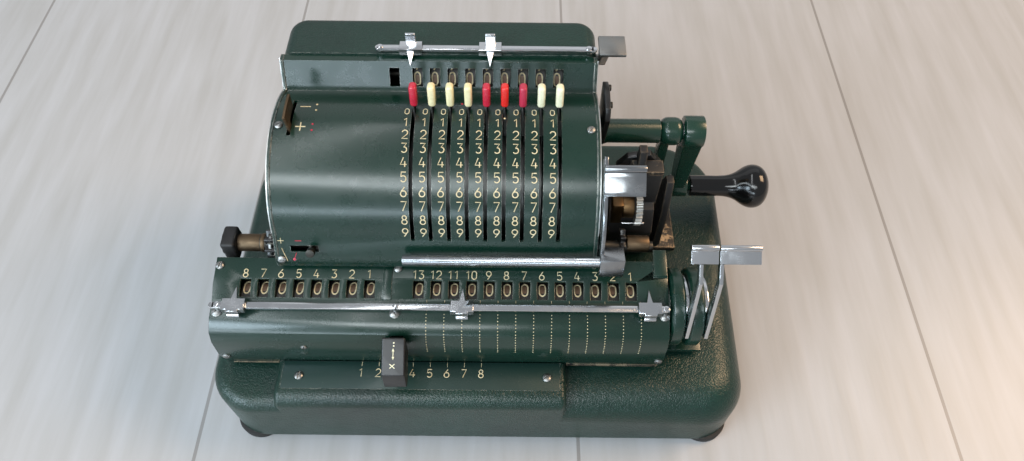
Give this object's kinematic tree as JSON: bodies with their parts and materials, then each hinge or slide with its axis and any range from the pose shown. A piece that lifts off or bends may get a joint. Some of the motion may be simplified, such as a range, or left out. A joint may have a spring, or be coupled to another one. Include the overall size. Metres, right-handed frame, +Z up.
{
  "type": "pinwheel calculator",
  "caption": "Desktop calculating machine with setting levers in a curved cover, a sliding carriage of numeral wheels and a side crank",
  "frame": {"origin": "under the middle of the machine's overall box, on the surface it stands on", "axes": "+X to the operator's right along the carriage, +Y away from the operator, +Z up"},
  "size_m": [0.312, 0.1858, 0.1667],
  "materials": {
    "green": "gloss",
    "wrinkle_green": "wrinkle",
    "black": "satin",
    "chrome": "polished",
    "steel": "satin",
    "bronze": "worn",
    "rubber": "matte",
    "knob": "gloss",
    "numerals": "satin"
  },
  "bodies": {
    "machine": {"base_tray": "wrinkle_green", "rubber_feet": "rubber", "scale_plate": "green", "housing_shell": "green", "rear_cover": "wrinkle_green", "side_frames": "green", "crank_bracket": "green", "gear_bracket": "black", "fixed_shafts": "bronze", "upper_rail": "chrome"},
    "carriage": {"carriage_shell": "green", "register_shaft": "steel", "pointer_rail": "chrome"},
    "carriage_key": {"carriage_key": "knob"},
    "check_dial_1": {"check_dial_1": "numerals"},
    "check_dial_2": {"check_dial_2": "numerals"},
    "check_dial_3": {"check_dial_3": "numerals"},
    "check_dial_4": {"check_dial_4": "numerals"},
    "check_dial_5": {"check_dial_5": "numerals"},
    "check_dial_6": {"check_dial_6": "numerals"},
    "check_dial_7": {"check_dial_7": "numerals"},
    "check_dial_8": {"check_dial_8": "numerals"},
    "check_dial_9": {"check_dial_9": "numerals"},
    "clearing_lever_counter": {"clearing_lever_counter": "chrome"},
    "clearing_lever_result": {"clearing_lever_result": "chrome"},
    "counter_wheels": {"counter_wheels": "numerals"},
    "crank_arm": {"crank_arm": "green"},
    "crank_knob": {"crank_knob": "knob"},
    "direction_slider": {"direction_slider": "chrome"},
    "lower_pointer_1": {"lower_pointer_1": "chrome"},
    "lower_pointer_2": {"lower_pointer_2": "chrome"},
    "lower_pointer_3": {"lower_pointer_3": "chrome"},
    "main_shaft": {"main_shaft": "steel"},
    "reset_lever": {"reset_lever": "chrome"},
    "result_wheel_1": {"result_wheel_1": "numerals"},
    "result_wheel_10": {"result_wheel_10": "numerals"},
    "result_wheel_11": {"result_wheel_11": "numerals"},
    "result_wheel_12": {"result_wheel_12": "numerals"},
    "result_wheel_13": {"result_wheel_13": "numerals"},
    "result_wheel_2": {"result_wheel_2": "numerals"},
    "result_wheel_3": {"result_wheel_3": "numerals"},
    "result_wheel_4": {"result_wheel_4": "numerals"},
    "result_wheel_5": {"result_wheel_5": "numerals"},
    "result_wheel_6": {"result_wheel_6": "numerals"},
    "result_wheel_7": {"result_wheel_7": "numerals"},
    "result_wheel_8": {"result_wheel_8": "numerals"},
    "result_wheel_9": {"result_wheel_9": "numerals"},
    "setting_lever_1": {"setting_lever_1": "steel"},
    "setting_lever_2": {"setting_lever_2": "steel"},
    "setting_lever_3": {"setting_lever_3": "steel"},
    "setting_lever_4": {"setting_lever_4": "steel"},
    "setting_lever_5": {"setting_lever_5": "steel"},
    "setting_lever_6": {"setting_lever_6": "steel"},
    "setting_lever_7": {"setting_lever_7": "steel"},
    "setting_lever_8": {"setting_lever_8": "steel"},
    "setting_lever_9": {"setting_lever_9": "steel"},
    "sign_lever": {"sign_lever": "bronze"},
    "transfer_lever": {"transfer_lever": "chrome"},
    "upper_pointer_1": {"upper_pointer_1": "chrome"},
    "upper_pointer_2": {"upper_pointer_2": "chrome"}
  },
  "joints": [
    {"name": "crank_turn", "type": "hinge", "parent": "machine", "child": "crank_arm", "pos_m": [0.097, 0.03909, 0.118], "axis": [1, 0, 0], "continuous": true},
    {"name": "knob_spin", "type": "hinge", "parent": "crank_arm", "child": "crank_knob", "pos_m": [0.1096, 0.03909, 0.07], "axis": [1, 0, 0], "continuous": true},
    {"name": "drum_turn", "type": "hinge", "parent": "machine", "child": "main_shaft", "pos_m": [0.006, 0.0195, 0.098], "axis": [1, 0, 0], "continuous": true},
    {"name": "setting_1", "type": "hinge", "parent": "machine", "child": "setting_lever_1", "pos_m": [0.006, 0.0195, 0.098], "axis": [1, 0, 0], "range_deg": [0, 77.14]},
    {"name": "dial_turn_1", "type": "hinge", "parent": "machine", "child": "check_dial_1", "pos_m": [0.006, 0.05837, 0.13969], "axis": [1, 0, 0], "range_deg": [-330, 0]},
    {"name": "setting_2", "type": "hinge", "parent": "machine", "child": "setting_lever_2", "pos_m": [0.006, 0.0195, 0.098], "axis": [1, 0, 0], "range_deg": [0, 77.14]},
    {"name": "dial_turn_2", "type": "hinge", "parent": "machine", "child": "check_dial_2", "pos_m": [0.006, 0.05837, 0.13969], "axis": [1, 0, 0], "range_deg": [-330, 0]},
    {"name": "setting_3", "type": "hinge", "parent": "machine", "child": "setting_lever_3", "pos_m": [0.006, 0.0195, 0.098], "axis": [1, 0, 0], "range_deg": [0, 77.14]},
    {"name": "dial_turn_3", "type": "hinge", "parent": "machine", "child": "check_dial_3", "pos_m": [0.006, 0.05837, 0.13969], "axis": [1, 0, 0], "range_deg": [-330, 0]},
    {"name": "setting_4", "type": "hinge", "parent": "machine", "child": "setting_lever_4", "pos_m": [0.006, 0.0195, 0.098], "axis": [1, 0, 0], "range_deg": [0, 77.14]},
    {"name": "dial_turn_4", "type": "hinge", "parent": "machine", "child": "check_dial_4", "pos_m": [0.006, 0.05837, 0.13969], "axis": [1, 0, 0], "range_deg": [-330, 0]},
    {"name": "setting_5", "type": "hinge", "parent": "machine", "child": "setting_lever_5", "pos_m": [0.006, 0.0195, 0.098], "axis": [1, 0, 0], "range_deg": [0, 77.14]},
    {"name": "dial_turn_5", "type": "hinge", "parent": "machine", "child": "check_dial_5", "pos_m": [0.006, 0.05837, 0.13969], "axis": [1, 0, 0], "range_deg": [-330, 0]},
    {"name": "setting_6", "type": "hinge", "parent": "machine", "child": "setting_lever_6", "pos_m": [0.006, 0.0195, 0.098], "axis": [1, 0, 0], "range_deg": [0, 77.14]},
    {"name": "dial_turn_6", "type": "hinge", "parent": "machine", "child": "check_dial_6", "pos_m": [0.006, 0.05837, 0.13969], "axis": [1, 0, 0], "range_deg": [-330, 0]},
    {"name": "setting_7", "type": "hinge", "parent": "machine", "child": "setting_lever_7", "pos_m": [0.006, 0.0195, 0.098], "axis": [1, 0, 0], "range_deg": [0, 77.14]},
    {"name": "dial_turn_7", "type": "hinge", "parent": "machine", "child": "check_dial_7", "pos_m": [0.006, 0.05837, 0.13969], "axis": [1, 0, 0], "range_deg": [-330, 0]},
    {"name": "setting_8", "type": "hinge", "parent": "machine", "child": "setting_lever_8", "pos_m": [0.006, 0.0195, 0.098], "axis": [1, 0, 0], "range_deg": [0, 77.14]},
    {"name": "dial_turn_8", "type": "hinge", "parent": "machine", "child": "check_dial_8", "pos_m": [0.006, 0.05837, 0.13969], "axis": [1, 0, 0], "range_deg": [-330, 0]},
    {"name": "setting_9", "type": "hinge", "parent": "machine", "child": "setting_lever_9", "pos_m": [0.006, 0.0195, 0.098], "axis": [1, 0, 0], "range_deg": [0, 77.14]},
    {"name": "dial_turn_9", "type": "hinge", "parent": "machine", "child": "check_dial_9", "pos_m": [0.006, 0.05837, 0.13969], "axis": [1, 0, 0], "range_deg": [-330, 0]},
    {"name": "carriage_slide", "type": "slide", "parent": "machine", "child": "carriage", "axis": [1, 0, 0], "range_m": [-0.018, 0.045]},
    {"name": "result_turn_1", "type": "hinge", "parent": "carriage", "child": "result_wheel_1", "pos_m": [0.006, -0.045, 0.0756], "axis": [1, 0, 0], "continuous": true},
    {"name": "result_turn_2", "type": "hinge", "parent": "carriage", "child": "result_wheel_2", "pos_m": [0.006, -0.045, 0.0756], "axis": [1, 0, 0], "continuous": true},
    {"name": "result_turn_3", "type": "hinge", "parent": "carriage", "child": "result_wheel_3", "pos_m": [0.006, -0.045, 0.0756], "axis": [1, 0, 0], "continuous": true},
    {"name": "result_turn_4", "type": "hinge", "parent": "carriage", "child": "result_wheel_4", "pos_m": [0.006, -0.045, 0.0756], "axis": [1, 0, 0], "continuous": true},
    {"name": "result_turn_5", "type": "hinge", "parent": "carriage", "child": "result_wheel_5", "pos_m": [0.006, -0.045, 0.0756], "axis": [1, 0, 0], "continuous": true},
    {"name": "result_turn_6", "type": "hinge", "parent": "carriage", "child": "result_wheel_6", "pos_m": [0.006, -0.045, 0.0756], "axis": [1, 0, 0], "continuous": true},
    {"name": "result_turn_7", "type": "hinge", "parent": "carriage", "child": "result_wheel_7", "pos_m": [0.006, -0.045, 0.0756], "axis": [1, 0, 0], "continuous": true},
    {"name": "result_turn_8", "type": "hinge", "parent": "carriage", "child": "result_wheel_8", "pos_m": [0.006, -0.045, 0.0756], "axis": [1, 0, 0], "continuous": true},
    {"name": "result_turn_9", "type": "hinge", "parent": "carriage", "child": "result_wheel_9", "pos_m": [0.006, -0.045, 0.0756], "axis": [1, 0, 0], "continuous": true},
    {"name": "result_turn_10", "type": "hinge", "parent": "carriage", "child": "result_wheel_10", "pos_m": [0.006, -0.045, 0.0756], "axis": [1, 0, 0], "continuous": true},
    {"name": "result_turn_11", "type": "hinge", "parent": "carriage", "child": "result_wheel_11", "pos_m": [0.006, -0.045, 0.0756], "axis": [1, 0, 0], "continuous": true},
    {"name": "result_turn_12", "type": "hinge", "parent": "carriage", "child": "result_wheel_12", "pos_m": [0.006, -0.045, 0.0756], "axis": [1, 0, 0], "continuous": true},
    {"name": "result_turn_13", "type": "hinge", "parent": "carriage", "child": "result_wheel_13", "pos_m": [0.006, -0.045, 0.0756], "axis": [1, 0, 0], "continuous": true},
    {"name": "counter_turn", "type": "hinge", "parent": "carriage", "child": "counter_wheels", "pos_m": [0.006, -0.045, 0.0756], "axis": [1, 0, 0], "continuous": true},
    {"name": "clear_counter", "type": "hinge", "parent": "carriage", "child": "clearing_lever_counter", "pos_m": [0.006, -0.045, 0.0756], "axis": [1, 0, 0], "range_deg": [0, 50], "stiffness_Nm_per_rad": 0.02, "springref_deg": -20.05},
    {"name": "clear_result", "type": "hinge", "parent": "carriage", "child": "clearing_lever_result", "pos_m": [0.006, -0.045, 0.0756], "axis": [1, 0, 0], "range_deg": [0, 50], "stiffness_Nm_per_rad": 0.02, "springref_deg": -20.05},
    {"name": "lower_pointer_slide_1", "type": "slide", "parent": "carriage", "child": "lower_pointer_1", "axis": [1, 0, 0], "range_m": [0, 0.063]},
    {"name": "lower_pointer_slide_2", "type": "slide", "parent": "carriage", "child": "lower_pointer_2", "axis": [1, 0, 0], "range_m": [-0.024, 0.072]},
    {"name": "lower_pointer_slide_3", "type": "slide", "parent": "carriage", "child": "lower_pointer_3", "axis": [1, 0, 0], "range_m": [-0.072, 0]},
    {"name": "upper_pointer_slide_1", "type": "slide", "parent": "machine", "child": "upper_pointer_1", "axis": [1, 0, 0], "range_m": [-0.007, 0.027]},
    {"name": "upper_pointer_slide_2", "type": "slide", "parent": "machine", "child": "upper_pointer_2", "axis": [1, 0, 0], "range_m": [-0.027, 0.036]},
    {"name": "key_tilt", "type": "hinge", "parent": "carriage", "child": "carriage_key", "pos_m": [0.006, -0.0585, 0.07], "axis": [1, 0, 0], "range_deg": [-6, 6], "stiffness_Nm_per_rad": 0.4},
    {"name": "reset_swing", "type": "hinge", "parent": "machine", "child": "reset_lever", "pos_m": [0.006, 0.0195, 0.098], "axis": [-1, 0, 0], "range_deg": [0, 80]},
    {"name": "transfer_swing", "type": "hinge", "parent": "machine", "child": "transfer_lever", "pos_m": [0.006, 0.0715, 0.14], "axis": [1, 0, 0], "range_deg": [0, 15]},
    {"name": "sign_swing", "type": "hinge", "parent": "machine", "child": "sign_lever", "pos_m": [0.006, 0.0195, 0.098], "axis": [1, 0, 0], "range_deg": [-16, 0]},
    {"name": "direction_slide", "type": "slide", "parent": "machine", "child": "direction_slider", "axis": [1, 0, 0], "range_m": [-0.008, 0]}
  ],
  "couplings": [
    {"joint": "drum_turn", "follows": "crank_turn", "ratio": -1},
    {"joint": "dial_turn_1", "follows": "setting_1", "ratio": -4.2},
    {"joint": "dial_turn_2", "follows": "setting_2", "ratio": -4.2},
    {"joint": "dial_turn_3", "follows": "setting_3", "ratio": -4.2},
    {"joint": "dial_turn_4", "follows": "setting_4", "ratio": -4.2},
    {"joint": "dial_turn_5", "follows": "setting_5", "ratio": -4.2},
    {"joint": "dial_turn_6", "follows": "setting_6", "ratio": -4.2},
    {"joint": "dial_turn_7", "follows": "setting_7", "ratio": -4.2},
    {"joint": "dial_turn_8", "follows": "setting_8", "ratio": -4.2},
    {"joint": "dial_turn_9", "follows": "setting_9", "ratio": -4.2}
  ]
}
